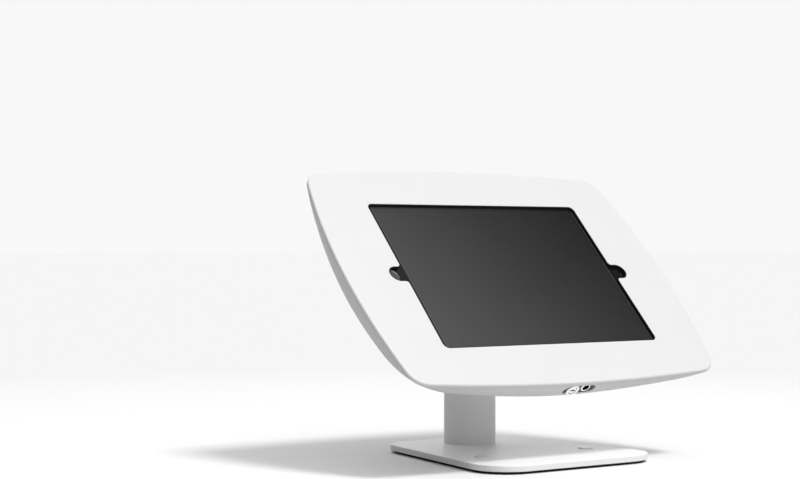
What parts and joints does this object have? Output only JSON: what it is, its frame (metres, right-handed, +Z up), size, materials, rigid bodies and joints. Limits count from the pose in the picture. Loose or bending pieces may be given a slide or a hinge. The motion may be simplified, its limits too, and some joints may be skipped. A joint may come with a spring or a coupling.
{
  "type": "lockable counter-top tablet mount",
  "caption": "Tilted tablet mount: domed locking head whose hinged faceplate frames the screen, on a bent tube arm and a flat base.",
  "frame": {"origin": "under the middle of the base plate, on the surface it stands on", "axes": "+Z up, -Y towards the user, +X to the right as seen from behind the screen's front"},
  "size_m": [0.3004, 0.1716, 0.2167],
  "materials": {
    "faceplate": "smooth white powder coat",
    "window_gasket": "matt black foam",
    "hook_tabs": "smooth white powder coat",
    "latch_bracket": "zinc plated",
    "rear_shell": "fine satin white",
    "chassis_plate": "zinc plated sheet",
    "hook_rail": "satin black nylon",
    "rail_screws": "plated",
    "tablet_foam": "matt black foam",
    "edge_pads": "matt black rubber",
    "boss_screws": "plated",
    "standoffs": "turned",
    "standoff_screws": "plated",
    "flange_screws": "plated",
    "arm_grommet": "matt rubber",
    "tablet_case": "bead blasted",
    "display_panel": "screen that is off",
    "tablet_glass": "polished",
    "home_button": "satin black",
    "camera_lens": "polished",
    "lock_barrel": "polished",
    "lock_plug": "polished",
    "lock_cam": "plated",
    "cam_screw": "plated",
    "lock_nut": "turned",
    "recess_screw": "polished",
    "arm_tube": "smooth white powder coat",
    "arm_flange": "plated",
    "tube_plug": "plain steel",
    "base_screws": "plated",
    "base_plate": "smooth white powder coat",
    "base_pad": "matt black rubber",
    "fixing_caps": "polished white"
  },
  "bodies": {
    "stand": {"rear_shell": "rear_shell", "chassis_plate": "chassis_plate", "hook_rail": "hook_rail", "rail_screws": "rail_screws", "tablet_foam": "tablet_foam", "edge_pads": "edge_pads", "boss_screws": "boss_screws", "standoffs": "standoffs", "standoff_screws": "standoff_screws", "flange_screws": "flange_screws", "arm_grommet": "arm_grommet", "tablet_case": "tablet_case", "display_panel": "display_panel", "tablet_glass": "tablet_glass", "camera_lens": "camera_lens", "lock_barrel": "lock_barrel", "lock_nut": "lock_nut", "recess_screw": "recess_screw", "arm_tube": "arm_tube", "arm_flange": "arm_flange", "tube_plug": "tube_plug", "base_screws": "base_screws", "base_plate": "base_plate", "base_pad": "base_pad", "fixing_caps": "fixing_caps"},
    "front": {"faceplate": "faceplate", "window_gasket": "window_gasket", "hook_tabs": "hook_tabs", "latch_bracket": "latch_bracket"},
    "lock": {"lock_plug": "lock_plug", "lock_cam": "lock_cam", "cam_screw": "cam_screw"},
    "button": {"home_button": "home_button"}
  },
  "joints": [
    {"name": "faceplate_hinge", "type": "hinge", "parent": "stand", "child": "front", "pos_m": [0, 0.07346, 0.21554], "axis": [-1, 0, 0], "range_deg": [0, 30]},
    {"name": "lock_turn", "type": "hinge", "parent": "stand", "child": "lock", "pos_m": [0, -0.06791, 0.06104], "axis": [0, 0.6997, 0.7145], "range_deg": [0, 90]},
    {"name": "button_press", "type": "slide", "parent": "stand", "child": "button", "axis": [0, 0.7145, -0.6997], "range_m": [0, 0.0005], "stiffness_N_per_m": 1500}
  ]
}
